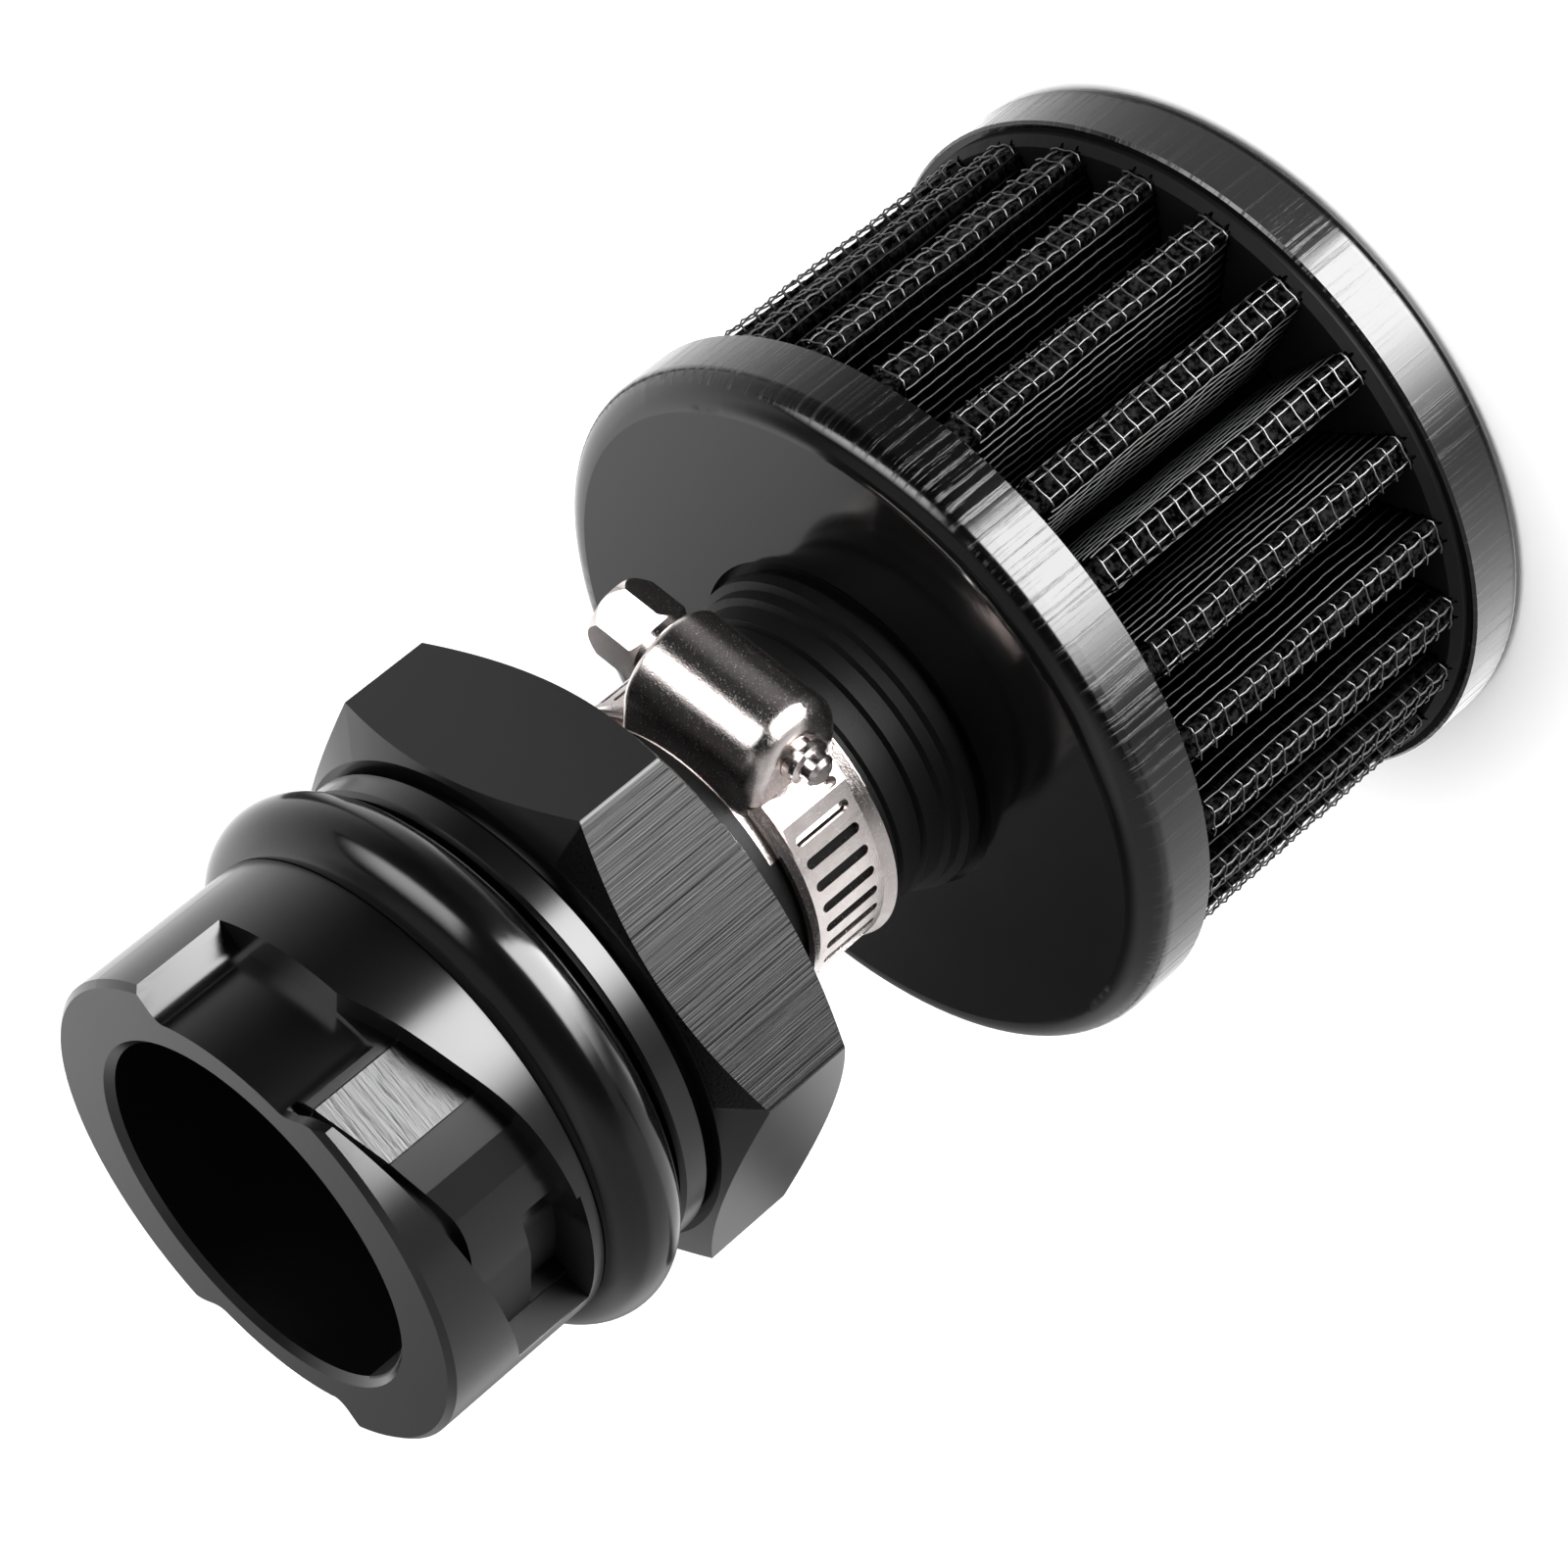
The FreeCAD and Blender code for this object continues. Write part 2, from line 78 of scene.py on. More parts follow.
right = PICTURE_RIGHT.normalized()
back = right.cross(PICTURE_UP).normalized()
up = back.cross(right)
camera_data = bpy.data.cameras.new("camera")
camera_data.sensor_width = SENSOR
camera_data.lens = LENS
camera_data.clip_start = 0.01
camera = bpy.data.objects.new("camera", camera_data)
camera.matrix_world = Matrix.Translation(CAMERA_PLACE) @ Matrix((right, up, back)).transposed().to_4x4()
bpy.context.scene.collection.objects.link(camera)
bpy.context.scene.camera = camera
CAMERA_SIDE = math.atan2(CAMERA_PLACE.y, CAMERA_PLACE.x)
print("camera stands at", round(math.degrees(CAMERA_SIDE), 1), "degrees round the part")

# %% [markdown]
# ## Shader maths
# A finish is easier to read as a formula than as a plate of nodes. This class wraps a
# socket. Adding or multiplying two of them adds the Math node that does it. Everything
# else is made by `Finish.node`, which takes a node's kind, its settings and its inputs.

# %% Wrap sockets so that they take part in formulas


class Signal:
    def __init__(self, finish, socket):
        self.finish = finish
        self.socket = socket

    def maths(self, operation, *values):
        return self.finish.node("ShaderNodeMath", {"operation": operation}, dict(enumerate(values)))

    def __add__(self, other):
        return self.maths("ADD", self, other)

    def __mul__(self, other):
        return self.maths("MULTIPLY", self, other)

    def __sub__(self, other):
        return self.maths("SUBTRACT", self, other)

    def __rsub__(self, other):
        return self.maths("SUBTRACT", other, self)

    def __truediv__(self, other):
        return self.maths("DIVIDE", self, other)

    def __rtruediv__(self, other):
        return self.maths("DIVIDE", other, self)

    __radd__ = __add__
    __rmul__ = __mul__

    def power(self, exponent):
        return self.maths("POWER", self, exponent)

    def most(self, other):
        return self.maths("MAXIMUM", self, other)

    def ramp(self, low, high):
        """0 below low and 1 above high, with a soft step between; high may be the lower."""
        start, end = min(low, high), max(low, high)
        ends = (0, 1) if low < high else (1, 0)
        return self.finish.node("ShaderNodeMapRange", {"interpolation_type": "SMOOTHSTEP"},
                                {0: self, 1: start, 2: end, 3: ends[0], 4: ends[1]})

    def band(self, low, high, soft):
        """1 between low and high, 0 outside."""
        return self.ramp(low - soft, low + soft) * self.ramp(high + soft, high - soft)


class Finish:
    def __init__(self, name, **uniform):
        self.material = bpy.data.materials.new(name)
        self.material.use_nodes = True
        self.tree = self.material.node_tree
        self.shader = self.tree.nodes["Principled BSDF"]
        for key, value in uniform.items():
            self.shader.inputs[key.replace("_", " ").title().replace("Ior", "IOR")].default_value = value
        self.measure("Object", 1 / MM)

    def measure(self, coordinates, scale):
        """Place as a vector, its three parts, the distance from the axis and the angle round it."""
        source = self.tree.nodes.new("ShaderNodeTexCoord").outputs[coordinates]
        self.place = self.node("ShaderNodeVectorMath", {"operation": "SCALE"},
                               {0: Signal(self, source), "Scale": scale})
        split = self.add("ShaderNodeSeparateXYZ", {}, {0: self.place})
        self.x, self.y, self.z = (Signal(self, s) for s in split.outputs)
        self.radius = (self.x * self.x + self.y * self.y).power(0.5)
        self.turn = self.x.maths("ARCTAN2", self.y, self.x) * (180 / math.pi)

    def add(self, kind, settings, inputs):
        node = self.tree.nodes.new(kind)
        for key, value in settings.items():
            setattr(node, key, value)
        for key, value in inputs.items():
            if isinstance(value, Signal):
                self.tree.links.new(value.socket, node.inputs[key])
            else:
                node.inputs[key].default_value = value
        return node

    def node(self, kind, settings, inputs, output=0):
        return Signal(self, self.add(kind, settings, inputs).outputs[output])

    def noise(self, vector, scale, detail=3.0, roughness=0.5):
        """Noise from 0 to 1; scale is in waves per mm of the vector."""
        return self.node("ShaderNodeTexNoise", {"noise_dimensions": "3D"},
                         {"Vector": vector, "Scale": scale, "Detail": detail, "Roughness": roughness})

    def vector(self, x, y, z):
        return self.node("ShaderNodeCombineXYZ", {}, {0: x, 1: y, 2: z})

    def mix(self, factor, first, second):
        """Colour between two colours."""
        return self.node("ShaderNodeMix", {"data_type": "RGBA"}, {0: factor, 6: first, 7: second}, 2)

    def feed(self, name, signal):
        self.tree.links.new(signal.socket, self.shader.inputs[name])

    def bump(self, height, depth):
        """Height runs from 0 to 1 and stands for depth in mm."""
        node = self.add("ShaderNodeBump", {}, {"Height": height, "Distance": depth * MM, "Strength": 1.0})
        self.tree.links.new(node.outputs[0], self.shader.inputs["Normal"])


def grey(value):
    return (value, value, value, 1.0)


def wear(node_name, finish):
    """Give a solid its finish."""
    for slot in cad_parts[node_name].material_slots:
        slot.material = finish.material
    print(node_name, "wears", finish.material.name)


# %% [markdown]
# ## Black anodised alloy
# The adapter is turned and milled, then anodised black. The coating is a hard dark
# glaze, so it is a dark dielectric rather than a metal. The hexagon's front flat and one
# facet in the slot look like milled metal that is only thinly coated, with cutter lines
# along the axis on the flat and round it on the facet. They are found by three measures:
# the angle round the part in degrees, the height and the distance from the axis in mm.
# The floor of the slot's dark end is left dull.

# %% Anodised alloy
FLAT_TURNS = (-119.5, -60.5)
FLAT_HEIGHTS = (58.8, 69.0)
FLAT_RADIUS = 18.5
FACET_TURNS = (-85.9, -66.1)
FACET_HEIGHTS = (79.0, 91.0)
FACET_RADIUS = 15.65
SLOT_END_TURN = -126.0
SLOT_HEIGHTS = (72.0, 91.0)
SPIGOT_SKIN = 17.425

alloy = Finish("anodised_black", base_color=grey(0.004), roughness=0.2, ior=1.5)
outside_flat = alloy.radius.ramp(FLAT_RADIUS - 0.1, FLAT_RADIUS + 0.1)
on_flat = alloy.turn.band(*FLAT_TURNS, 0.3) * alloy.z.band(*FLAT_HEIGHTS, 0.1) * outside_flat
inside_facet = alloy.radius.ramp(FACET_RADIUS + 0.05, FACET_RADIUS - 0.05)
on_facet = alloy.turn.band(*FACET_TURNS, 0.2) * alloy.z.band(*FACET_HEIGHTS, 0.1) * inside_facet
inside_spigot = alloy.radius.ramp(SPIGOT_SKIN + 0.025, SPIGOT_SKIN - 0.025)
past_end = alloy.turn.ramp(SLOT_END_TURN + 2.0, SLOT_END_TURN - 2.0)
slot_end = past_end * inside_spigot * alloy.z.band(*SLOT_HEIGHTS, 0.1)

flat_line = alloy.noise(alloy.vector(alloy.x, alloy.y, alloy.z * 0.008), 5.6, 4.0, 0.6)
facet_line = alloy.noise(alloy.vector(alloy.turn * 0.02, alloy.z, 0.0), 2.6, 5.0, 0.65)
line = on_flat * flat_line + on_facet * facet_line
milled = on_flat.most(on_facet)
dark_line = alloy.mix(on_facet, grey(0.008), grey(0.018))
bright_line = alloy.mix(on_facet, grey(0.020), grey(0.044))
milled_colour = alloy.mix(line.ramp(0.34, 0.46), dark_line, bright_line)
stain = alloy.noise(alloy.place, 0.12, 3.0, 0.5)

alloy.feed("Base Color", alloy.mix(milled, grey(0.003), milled_colour))
alloy.feed("Metallic", milled)
alloy.feed("Roughness", 0.19 + stain * 0.06 + milled * line * 0.14 + slot_end * 0.4)
alloy.bump(line, 0.05)
wear("adapter", alloy)

# %% [markdown]
# ## Rubbers
# The O-ring is a polished black elastomer with a soft sheen. The moulded neck and base
# are a duller rubber with a fine grain. Under the slotted band the neck is duller still,
# so that the slots stay dark. The sealing compound at the far end is poured, so it is
# smoother and slightly uneven.

# %% O-ring, neck and sealing compound
CLAMP_HEIGHT = HEIGHT - 41.9
BAND_HALF_WIDTH = 3.7

ring_rubber = Finish("ring_rubber", base_color=grey(0.004), roughness=0.3, specular_ior_level=0.38)
ring_grain = ring_rubber.noise(ring_rubber.place, 1.4, 3.0, 0.5)
ring_rubber.feed("Roughness", 0.11 + ring_grain * 0.05)
ring_rubber.bump(ring_grain, 0.003)
wear("o_ring", ring_rubber)

neck_rubber = Finish("neck_rubber", base_color=grey(0.003), roughness=0.5, specular_ior_level=0.16)
neck_grain = neck_rubber.noise(neck_rubber.place, 6.0, 4.0, 0.6)
neck_rubber.feed("Base Color", neck_rubber.mix(neck_grain, grey(0.002), grey(0.005)))
under_band = neck_rubber.z.band(CLAMP_HEIGHT - BAND_HALF_WIDTH, CLAMP_HEIGHT + BAND_HALF_WIDTH, 0.1)
neck_rubber.feed("Roughness", 0.40 + neck_grain * 0.14 + under_band * 0.45)
neck_rubber.bump(neck_grain, 0.02)
wear("neck_boot", neck_rubber)

compound = Finish("sealing_compound", base_color=grey(0.003), roughness=0.5, specular_ior_level=0.1)
compound_wave = compound.noise(compound.place, 0.5, 3.0, 0.5)
compound.feed("Roughness", 0.42 + compound_wave * 0.2)
compound.bump(compound_wave, 0.06)
wear("top_potting", compound)

# %% [markdown]
# ## Lacquered covers
# Both covers are pressed from sheet and lacquered black. Round the rims the lacquer is
# marked by fine scratches along the axis, which show where a bright card is mirrored.
# The scratch pattern runs on the angle round the part, stretched along the axis.

# %% Cover lacquer
RIM_SKIN = (25.6, 25.9)

lacquer = Finish("cover_lacquer", base_color=grey(0.003), roughness=0.12, ior=1.5)
scratch = lacquer.noise(lacquer.vector(lacquer.turn, lacquer.z * 0.03, 0.0), 0.9, 6.0, 0.7)
on_rim = lacquer.radius.ramp(*RIM_SKIN)
mark = scratch.ramp(0.50, 0.66) * on_rim
lacquer.feed("Base Color", lacquer.mix(mark, grey(0.002), grey(0.006)))
lacquer.feed("Roughness", 0.10 + mark * 0.22 + lacquer.noise(lacquer.place, 0.15) * 0.04)
lacquer.bump(mark, 0.012)
wear("lower_cover", lacquer)
wear("top_cover", lacquer)

# %% [markdown]
# ## Clamp steel
# The band, housing and screw are bright plated steel with a slightly warm tone. The
# plating has small pits and pale specks, so the mirror is broken by fine bump.

# %% Bright steel
DARK_PLATE = (0.62, 0.55, 0.53, 1.0)
PALE_PLATE = (0.80, 0.75, 0.735, 1.0)
SPECK = (0.85, 0.82, 0.80, 1.0)

steel = Finish("bright_steel", base_color=(0.74, 0.69, 0.675, 1.0), metallic=1.0, roughness=0.16)
pit = steel.noise(steel.place, 9.0, 4.0, 0.65)
smear = steel.noise(steel.place, 1.1, 3.0, 0.5)
speckle = pit.ramp(0.60, 0.68)
plate = steel.mix(smear, DARK_PLATE, PALE_PLATE)
steel.feed("Base Color", steel.mix(speckle, plate, SPECK))
steel.feed("Roughness", 0.11 + pit * 0.12 + speckle * 0.1)
steel.bump(pit, 0.013)
for name in ("clamp_band", "clamp_housing", "clamp_saddle", "clamp_screw"):
    wear(name, steel)

# %% [markdown]
# ## Filter medium
# Behind the wire lies cotton gauze, dyed black and oiled. It is folded with the wire,
# so its solid already has the folds. Close up it is a fluff of threads, and one soft
# noise gives both its mottled grey and its bump. The grey shows only on the crests;
# down in the folds it is painted nearly black, as painted shade.

# %% Cotton gauze
GAUZE_LIT_CREST = (23.4, 24.2)

gauze = Finish("cotton_gauze", base_color=grey(0.006), roughness=0.9, specular_ior_level=0.0)
fluff = gauze.noise(gauze.place, 2.2, 5.0, 0.65)
# painted shade: the fluff's mottled grey fades to nearly black down in the folds
thread_and_fold_shade = fluff.ramp(0.42, 0.66) * (0.06 + gauze.radius.ramp(*GAUZE_LIT_CREST) * 0.94)
gauze.feed("Base Color", gauze.mix(thread_and_fold_shade, grey(0.0008), grey(0.05)))
gauze.feed("Roughness", 0.75 + fluff * 0.2)
gauze.bump(fluff, 0.15)
wear("filter_media", gauze)
wear("inner_mesh", gauze)

# %% [markdown]
# ## Woven wire
# Each fold of the wall is wrapped in woven wire: two wires run along its crest, more
# run down both flanks, and cross wires go over the crest like the rungs of a ladder. A
# wire is drawn here as by hand: one vertex is extruded from point to point, the line
# becomes a curve, and the curve's round bevel gives the wire its thickness.

# %% Draw one wire


def nothing_selected():
    if bpy.context.object and bpy.context.object.mode != "OBJECT":
        bpy.ops.object.mode_set(mode="OBJECT")
    bpy.ops.object.select_all(action="DESELECT")


def take(piece):
    nothing_selected()
    piece.select_set(True)
    bpy.context.view_layer.objects.active = piece


def wire(name, points, radius):
    """Round wire through points, which are in mm."""
    nothing_selected()
    bpy.ops.mesh.primitive_plane_add(size=MM, location=Vector(points[0]) * MM)
    bpy.context.object.name = name
    bpy.ops.object.mode_set(mode="EDIT")
    bpy.ops.mesh.merge(type="CENTER")
    for start, end in zip(points[:-1], points[1:]):
        step = (Vector(end) - Vector(start)) * MM
        bpy.ops.mesh.extrude_region_move(TRANSFORM_OT_translate={"value": step})
    bpy.ops.object.mode_set(mode="OBJECT")
    bpy.ops.object.transform_apply(location=True, rotation=True, scale=True)
    bpy.ops.object.convert(target="CURVE")
    bpy.context.object.data.bevel_depth = radius * MM
    bpy.context.object.data.bevel_resolution = 1
    bpy.ops.object.convert(target="MESH")
    return bpy.context.object


# %% [markdown]
# One fold is measured in a plane across the axis, with its crest on the x axis. Its
# flank runs from the crest's corner down to its foot. Wires that run along the axis dip
# under each cross wire, so they are wavy lines, and the waves are deeper on the crest.
# The wires on the flank are set out down the flank and lie a little off it.

# %% Lengthwise wires of one fold
CREST = 24.8
FLANK_TOP = (24.8, 1.1)
FLANK_FOOT = (16.52, 1.67)
WALL_LOW = HEIGHT - 85.6
WALL_HIGH = HEIGHT - 59.0
CELL = 1.4
WIRE_RADIUS = 0.078
CREST_LIFT = 0.12
CREST_WAVE = 0.06
FLANK_WIRES = 8
FLANK_CELL = 0.95
FLANK_START = 0.6
FLANK_LIFT = 0.2
FLANK_WAVE = 0.02

cells = int((WALL_HIGH - WALL_LOW) / CELL)
flank = Vector(FLANK_FOOT) - Vector(FLANK_TOP)
flank_length = flank.length
flank.normalize()
flank_out = Vector((flank.y, -flank.x))


def along_wire(x, y, outward, wave):
    """Points of a lengthwise wire at (x, y) of the fold, waving along outward."""
    points = []
    for i in range(2 * cells - 1):
        lift = wave if i % 2 else -wave
        points.append((x + outward[0] * lift, y + outward[1] * lift, WALL_LOW + (i + 1) * CELL / 2))
    return points


lengthwise = []
for side in (-1, 1):
    crest_path = along_wire(CREST + CREST_LIFT, side * CELL / 2, (1, 0), CREST_WAVE)
    lengthwise.append(wire("rail", crest_path, WIRE_RADIUS))
    for i in range(FLANK_WIRES):
        at = Vector(FLANK_TOP) + flank * (FLANK_START + i * FLANK_CELL) + flank_out * FLANK_LIFT
        outward = (flank_out.x, side * flank_out.y)
        lengthwise.append(wire("rail", along_wire(at.x, side * at.y, outward, FLANK_WAVE), WIRE_RADIUS))
print("lengthwise wires in a fold:", len(lengthwise))

# %% [markdown]
# A cross wire starts at the foot of one flank, bulges over the crest and its two wires,
# and ends at the foot of the other. On the flanks it passes under the lengthwise wires.
# One is drawn, and an Array modifier repeats it at each cell up the wall.

# %% Cross wires of one fold
RUNG_OVER_CREST = ((0.20, 0.0), (0.30, CELL / 2), (0.12, FLANK_TOP[1] + 0.12))
RUNG_START = 0.75
RUNG_LIFTS = (0.1, 0.02)
RUNG_THINNER = 0.9


def repeated(piece, count, offset):
    """Copies in a row, offset in mm."""
    take(piece)
    array = piece.modifiers.new("row", "ARRAY")
    array.count = count
    array.use_relative_offset = False
    array.use_constant_offset = True
    array.constant_offset_displace = Vector(offset) * MM
    bpy.ops.object.modifier_apply(modifier=array.name)
    return piece


half = [Vector((CREST + lift, y)) for lift, y in RUNG_OVER_CREST]
reach = RUNG_START
while reach < flank_length:
    half.append(Vector(FLANK_TOP) + flank * reach + flank_out * RUNG_LIFTS[0])
    half.append(Vector(FLANK_TOP) + flank * min(reach + CELL / 2, flank_length) + flank_out * RUNG_LIFTS[1])
    reach += CELL
cross_path = [(p.x, -p.y, WALL_LOW + CELL / 2) for p in reversed(half[1:])]
cross_path += [(p.x, p.y, WALL_LOW + CELL / 2) for p in half]
cross_wires = repeated(wire("rung", cross_path, WIRE_RADIUS * RUNG_THINNER), cells, (0, 0, CELL))
print("cross wires in a fold:", cells)

# %% [markdown]
# The wire is blackened metal with some random wear. Its colour is painted lighter on the
# crests, as a painted highlight. On the flanks it keeps a share of that painted light, less
# and less towards the foot of the fold and towards the far cover, as painted shade there.

# %% Coated wire
WIRE_LIT_CREST = (CREST - 0.5, CREST - 0.1)
SHADED_RADIUS = 18.0
SHADED_HEIGHT = 9.0


def wire_finish(name, flank_light_share):
    coat = Finish(name, base_color=grey(0.05), metallic=1.0, roughness=0.3)
    worn = coat.noise(coat.place, 2.0, 4.0, 0.6)
    # painted light and shade: the crest is painted light, and the flanks keep less of it towards the fold's
    # foot and the far cover; only the worn noise is real wear
    crest = coat.radius.ramp(*WIRE_LIT_CREST)
    lit_height = coat.z.ramp(WALL_LOW, WALL_LOW + SHADED_HEIGHT)
    flank_glow = coat.radius.ramp(SHADED_RADIUS, CREST) * lit_height * flank_light_share
    painted_light_and_wear = crest.most(flank_glow) * (0.6 + worn.ramp(0.3, 0.6) * 0.4)
    coat.feed("Base Color", coat.mix(painted_light_and_wear, grey(0.003), grey(0.09)))
    coat.feed("Roughness", 0.25 + worn * 0.2)
    return coat


# painted light: the lengthwise wires keep much more painted light on the flanks than the cross wires, which
# are painted in shade there
lengthwise_coat = wire_finish("lengthwise_coat", 0.45)
cross_coat = wire_finish("cross_coat", 0.03)
print("wire finishes:", lengthwise_coat.material.name, "and", cross_coat.material.name)

# %% [markdown]
# The fold is copied round the axis with an Array modifier that follows an empty turned
# by one pitch. A Displace modifier with a soft noise then bends the wires a little,
# because no real mesh is as straight as its drawing.

# %% Copy the fold round the wall
PLEATS = 24
PLEAT_TURN = math.radians(-7.2)
WAVER_SIZE = 4.0
WAVER_DEPTH = 0.2

pitch_turn = bpy.data.objects.new("pitch_turn", None)
pitch_turn.rotation_euler = (0, 0, 2 * math.pi / PLEATS)
bpy.context.scene.collection.objects.link(pitch_turn)
waver = bpy.data.textures.new("waver", "CLOUDS")
waver.noise_scale = WAVER_SIZE * MM


def joined(pieces, name):
    take(pieces[0])
    for piece in pieces[1:]:
        piece.select_set(True)
    bpy.ops.object.join()
    bpy.context.object.name = name
    return bpy.context.object


def all_round(piece, coat):
    take(piece)
    piece.matrix_world = Matrix.Rotation(PLEAT_TURN, 4, "Z")
    bpy.ops.object.transform_apply(location=True, rotation=True, scale=True)
    array = piece.modifiers.new("folds", "ARRAY")
    array.count = PLEATS
    array.use_relative_offset = False
    array.use_object_offset = True
    array.offset_object = pitch_turn
    bpy.ops.object.modifier_apply(modifier=array.name)
    bend = piece.modifiers.new("bend", "DISPLACE")
    bend.texture = waver
    bend.texture_coords = "LOCAL"
    bend.direction = "RGB_TO_XYZ"
    bend.strength = WAVER_DEPTH * MM
    bpy.ops.object.modifier_apply(modifier=bend.name)
    bpy.ops.object.shade_smooth()
    piece.data.materials.clear()
    piece.data.materials.append(coat.material)
    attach(piece, "root")
    piece.data.calc_loop_triangles()
    print(piece.name, "triangles:", len(piece.data.loop_triangles))


lengthwise_wires = joined(lengthwise, "lengthwise_wires")
all_round(lengthwise_wires, lengthwise_coat)
cross_wires.name = "cross_wires"
all_round(cross_wires, cross_coat)
bpy.data.objects.remove(pitch_turn)
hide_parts("outer_mesh")

# %% [markdown]
# ## Floor and light
# The floor is plain and pale, lit from above by one large soft box. Black gloss shows
# only what it mirrors, so the floor and the soft box are left out of mirror rays. What
# the mirror rays meet instead are three cards of light and the sky, which stands for
# the walls of the light tent. The box's place is given by its turn from the camera's
# side, its tilt above the floor and its distance in m.

# %% Floor and soft box
FLOOR_SIZE = 4.0
BOX_TARGET = Vector((0, 0, 50)) * MM
BOX_TURN = math.radians(60)
BOX_TILT = math.radians(80)
BOX_DISTANCE = 0.8
BOX_SIZE = 0.8
BOX_BRIGHTNESS = 6.5

nothing_selected()
bpy.ops.mesh.primitive_plane_add(size=FLOOR_SIZE, location=(0, 0, 0))
floor = bpy.context.object
floor.name = "floor"
paper = Finish("paper", base_color=grey(0.92), roughness=0.9, specular_ior_level=0.0)
floor.data.materials.append(paper.material)
floor.visible_glossy = False
floor.visible_shadow = False

box_light = bpy.data.lights.new("overhead", "AREA")
box_light.size = BOX_SIZE
box_light.energy = BOX_BRIGHTNESS * BOX_SIZE ** 2 * math.pi
overhead = bpy.data.objects.new("overhead", box_light)
side = CAMERA_SIDE + BOX_TURN
way = Vector((math.cos(side) * math.cos(BOX_TILT), math.sin(side) * math.cos(BOX_TILT), math.sin(BOX_TILT)))
overhead.location = BOX_TARGET + way * BOX_DISTANCE
overhead.rotation_mode = "QUATERNION"
overhead.rotation_quaternion = way.to_track_quat("Z", "Y")
overhead.visible_camera = False
overhead.visible_glossy = False
bpy.context.scene.collection.objects.link(overhead)
print("soft box over the part, in m:", [round(v, 2) for v in overhead.location])

# %% [markdown]
# A card of light is a plane that is seen by mirror rays alone. An upright card stands
# at an angle from the camera's side, and its brightness is a formula of the height and
# of the way across, both in mm, where positive is to the left as seen from the part.

# %% Make a card of light


def shine(card, brightness):
    """Let a card glow, for mirror rays alone; brightness is a function of its finish."""
    glow = Finish(card.name + "_glow", base_color=grey(0.0), roughness=1.0, specular_ior_level=0.0)
    glow.feed("Emission Color", brightness(glow))
    glow.shader.inputs["Emission Strength"].default_value = 1.0
    card.data.materials.append(glow.material)
    card.visible_camera = False
    card.visible_diffuse = False
    card.visible_shadow = False


def light_card(name, turn, distance, across, heights, brightness):
    """Upright card at an angle from the camera's side."""
    nothing_selected()
    bpy.ops.mesh.primitive_plane_add(size=MM)
    card = bpy.context.object
    card.name = name
    card.scale = (across[1] - across[0], heights[1] - heights[0], 1.0)
    card.location = Vector((sum(across) / 2, sum(heights) / 2, 0)) * MM
    bpy.ops.object.transform_apply(location=True, rotation=True, scale=True)
    side = CAMERA_SIDE + math.radians(turn)
    card.rotation_euler = (math.pi / 2, 0, side + math.pi / 2)
    card.location = Vector((math.cos(side), math.sin(side), 0)) * distance * MM
    shine(card, brightness)
    print(name, "stands", distance, "mm from the axis, turned", turn, "degrees")


# %% [markdown]
# The front card makes the white bands on all upright walls. It has a crisp left edge,
# fades to the right and ends just above the clamp. Below the floor's level its left
# edge leans, as the highlight on the rims does. The left card is higher up and makes
# the soft highlights on rounded edges. It fades upwards.

# %% Front card and left card
FRONT_DISTANCE = 110.0
FRONT_ACROSS = (-150.0, 75.0)
FRONT_HEIGHTS = (-110.0, 62.0)
FRONT_GLOW = 20.0
LEFT_TURN = 45.0
LEFT_DISTANCE = 120.0
LEFT_ACROSS = (-50.0, 116.0)
LEFT_HEIGHTS = (86.0, 216.0)
LEFT_GLOW = 8.5


def front_fan(across, edge):
    """Full between the middle and the left edge, fading to the right."""
    return across.ramp(-90.0, -15.0).power(1.8) * edge.ramp(36.0, 26.0) * FRONT_GLOW


def front_brightness(glow):
    lean = (glow.y + 20.0).maths("MINIMUM", glow.y + 20.0, 0.0) * 0.4
    low_right = glow.y.ramp(-40.0, -75.0) * glow.x.ramp(-145.0, -40.0) * 3.0
    far_right = glow.x.ramp(-55.0, -90.0) * 0.5
    return glow.y.ramp(60.0, 50.0) * (front_fan(glow.x, glow.x + lean) + low_right + far_right)


def left_brightness(glow):
    edges = glow.x.ramp(-45.0, -22.0) * glow.x.ramp(115.0, 30.0)
    return edges * glow.y.ramp(88.0, 108.0) * glow.y.ramp(200.0, 112.0) * LEFT_GLOW


light_card("front_card", 0.0, FRONT_DISTANCE, FRONT_ACROSS, FRONT_HEIGHTS, front_brightness)
light_card("left_card", LEFT_TURN, LEFT_DISTANCE, LEFT_ACROSS, LEFT_HEIGHTS, left_brightness)

# %% [markdown]
# A third card lies just under the floor. It is what the covers mirror close to them:
# the foot of the front card, and pale floor that is brighter near the part. A ray that
# leaves a rim of this radius reaches the front card further out than it crosses the
# floor, so the fan is narrowed by the share of its way. Angles are counted from the
# camera's side.

# %% Card under the floor
FOOT_SIZE = 260.0
FOOT_DEPTH = 2.0
RIM = 26.0

nothing_selected()
bpy.ops.mesh.primitive_plane_add(size=FOOT_SIZE * MM, location=(0, 0, -FOOT_DEPTH * MM),
                                 rotation=(0, 0, CAMERA_SIDE))
foot_card = bpy.context.object
foot_card.name = "foot_card"


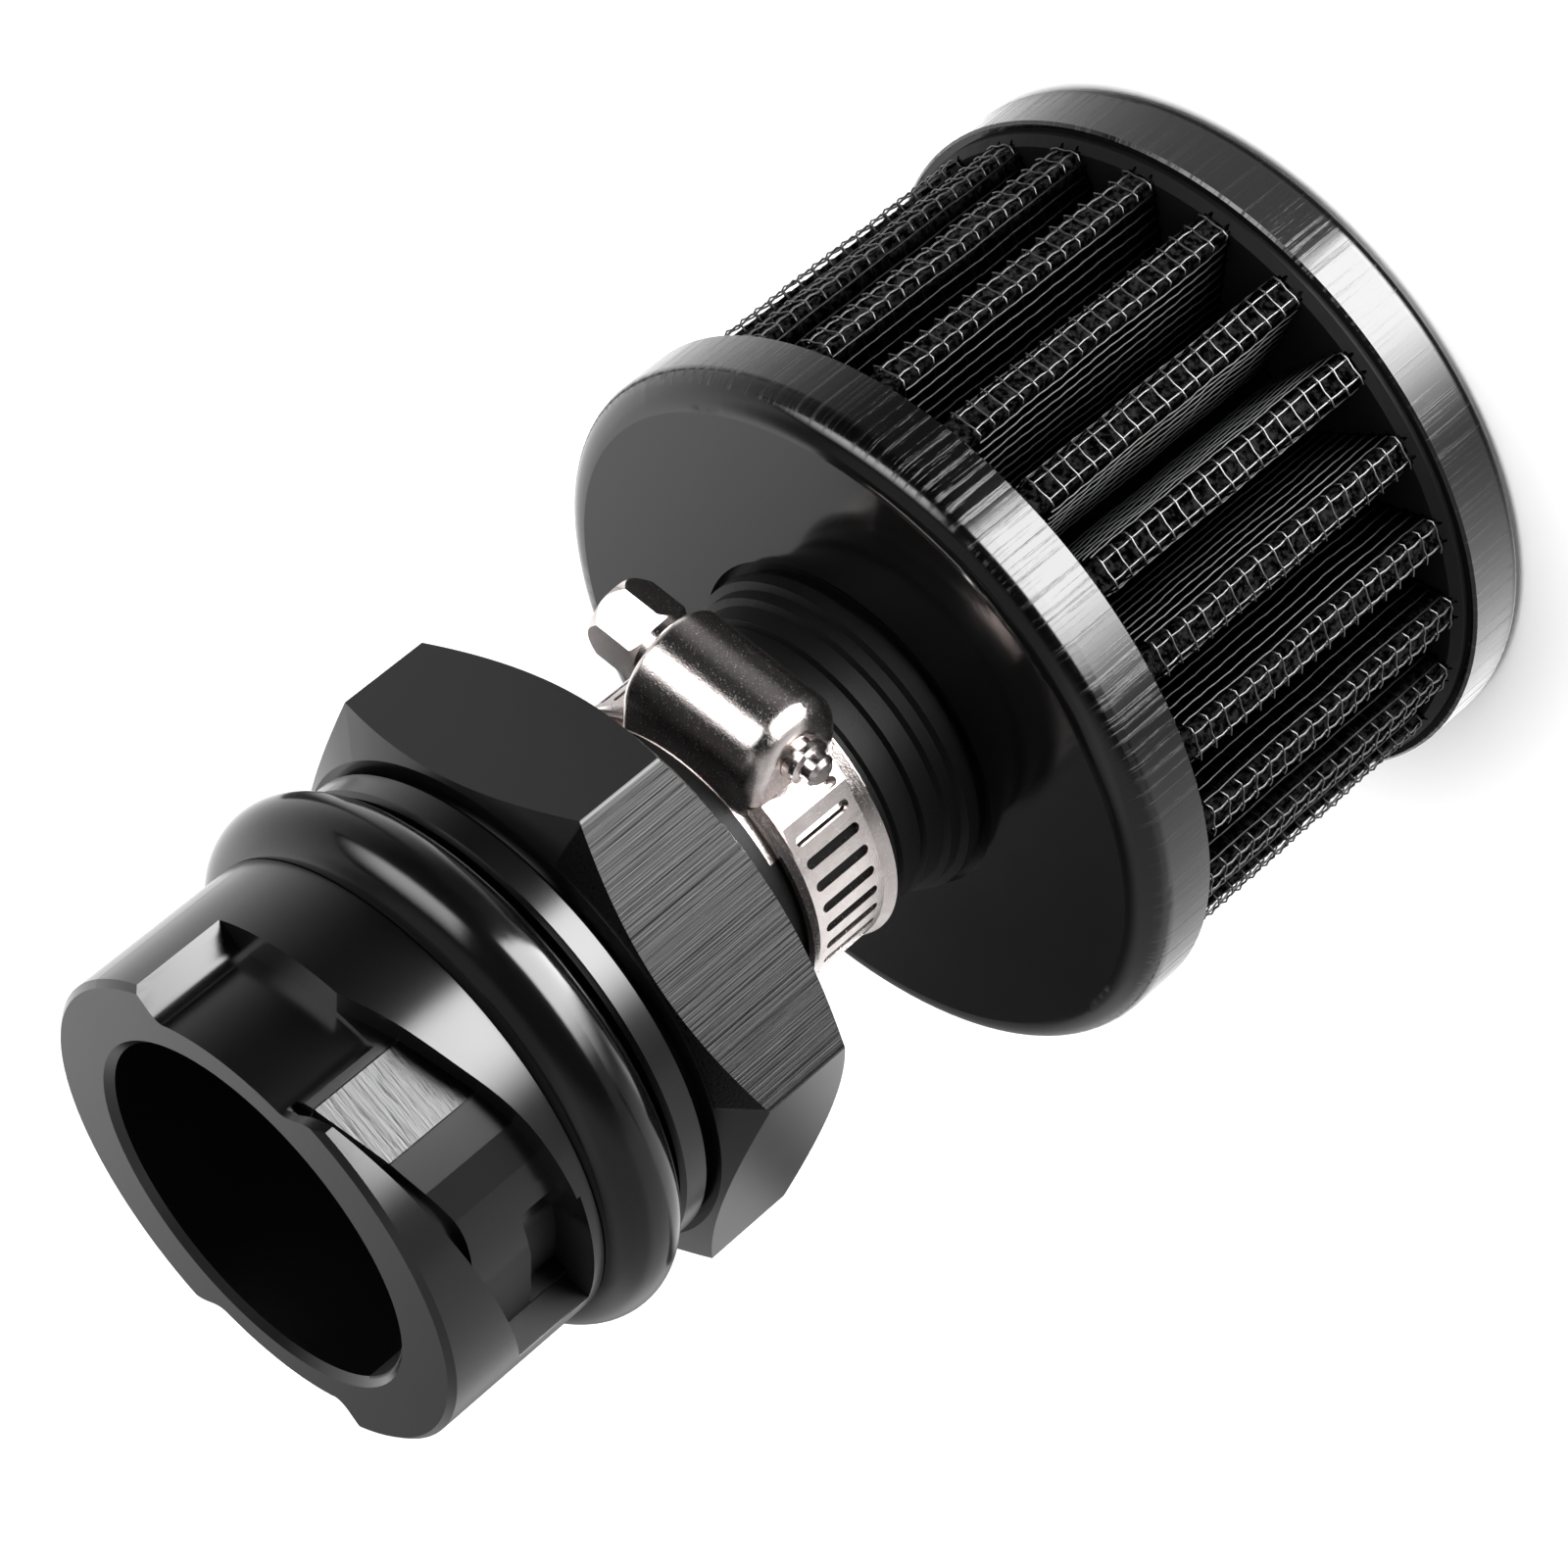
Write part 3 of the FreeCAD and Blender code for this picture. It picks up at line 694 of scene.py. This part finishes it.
def foot_brightness(glow):
    aim = glow.y * (FRONT_DISTANCE * 2.0 - RIM) / (glow.radius * 2.0 - RIM)
    fan = glow.x.ramp(-5.0, 5.0) * front_fan(aim, aim)
    near_right = glow.turn.ramp(-30.0, -70.0) * 0.9 - glow.turn.ramp(-70.0, -115.0) * 1.4
    near = glow.radius.ramp(64.0, 40.0) * (0.8 + near_right)
    far_right = glow.radius.ramp(150.0, 115.0) * glow.turn.ramp(-25.0, -85.0) * 1.2
    far_left = glow.radius.ramp(132.0, 90.0) * glow.turn.ramp(45.0, 120.0) * 1.5
    return glow.radius.ramp(RIM + 0.4, RIM + 3.0) * (fan + near) + far_right + far_left + 0.1


shine(foot_card, foot_brightness)
print(foot_card.name, "lies", FOOT_DEPTH, "mm under the floor")

# %% [markdown]
# The sky is a formula of direction, whose parts run from -1 to 1: ahead is towards the
# camera, left is to the left as seen from the part, and z is up. The tent is bright to
# the left and behind, dim to the right, brighter near the floor there, and black over
# the camera.

# %% Sky


class SkyLight(Finish):
    def __init__(self, world):
        world.use_nodes = True
        self.tree = world.node_tree
        self.shader = self.tree.nodes["Background"]
        self.measure("Generated", 1.0)


world = bpy.data.worlds.new("studio")
bpy.context.scene.world = world
sky = SkyLight(world)
ahead = sky.x * math.cos(CAMERA_SIDE) + sky.y * math.sin(CAMERA_SIDE)
left = sky.y * math.cos(CAMERA_SIDE) - sky.x * math.sin(CAMERA_SIDE)
tent_left = left.ramp(-0.055, 0.125) * ahead.ramp(0.5, -0.7) * sky.z.ramp(0.85, 0.6) * 1.3
tent_right = left.ramp(-0.15, -0.6) * ahead.ramp(0.75, 0.3) * (0.5 + sky.z.ramp(0.1, -0.15) * 0.3)
tent_back = ahead.ramp(-0.6, -0.9) * (0.08 + sky.z.ramp(0.43, 0.36) * 0.22)
ceiling = sky.z.ramp(0.75, 0.92) * 0.3
sky.feed("Color", tent_left + tent_right + tent_back + ceiling)
bpy.context.scene.view_settings.view_transform = "Standard"
print("sky:", len(sky.tree.nodes), "nodes")
